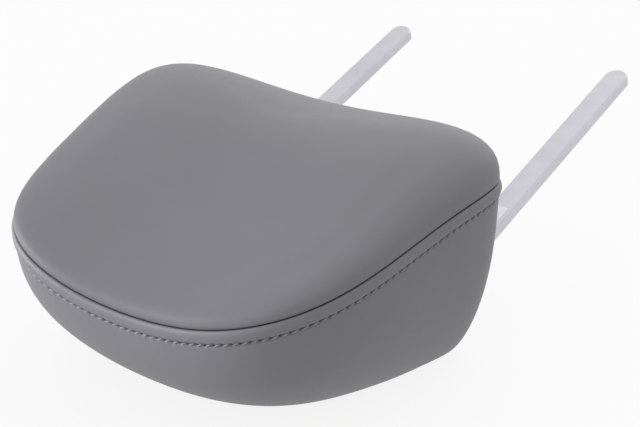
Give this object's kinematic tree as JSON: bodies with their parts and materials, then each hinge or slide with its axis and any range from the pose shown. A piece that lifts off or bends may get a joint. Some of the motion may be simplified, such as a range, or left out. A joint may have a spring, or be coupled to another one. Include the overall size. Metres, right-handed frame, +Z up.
{
  "type": "chair headrest attachment",
  "caption": "Upholstered wedge headrest cushion with a domed, hollowed face, on flat steel bars that slide into sockets in a chair's back.",
  "frame": {"origin": "on the surface that the cushion lies on, under the middle of the overall box", "axes": "+X runs across the cushion from the left bar to the right one, +Y runs from the head end to the bar tips, +Z points up, out of the face panel. The piece lies on its back panel, and the bars rise 17.5 degrees from it."},
  "size_m": [0.265, 0.4071, 0.1471],
  "materials": {
    "cover": "satin",
    "thread": "matte",
    "soft_foam": "matte",
    "firm_foam": "matte",
    "plywood": "matte",
    "bar_metal": "satin",
    "zinc_plate": "satin",
    "fasteners": "satin",
    "trim_plastic": "matte",
    "zip_cloth": "matte",
    "zip_metal": "satin",
    "label_paper": "matte"
  },
  "bodies": {
    "root": {"face_cover": "cover", "side_cover": "cover", "back_cover": "cover", "top_stitching": "thread", "comfort_foam": "soft_foam", "foam_core": "firm_foam", "back_foam": "firm_foam", "inner_board": "plywood", "bar_left": "bar_metal", "bar_right": "bar_metal", "tie_plate": "zinc_plate", "bar_screws": "fasteners", "screw_washers": "fasteners", "tee_nuts": "fasteners", "slot_trim_left": "trim_plastic", "slot_trim_right": "trim_plastic", "zip_tapes": "zip_cloth", "zip_teeth": "trim_plastic", "zip_slider": "zip_metal", "zip_pull": "zip_metal", "bar_label": "label_paper"}
  },
  "joints": []
}
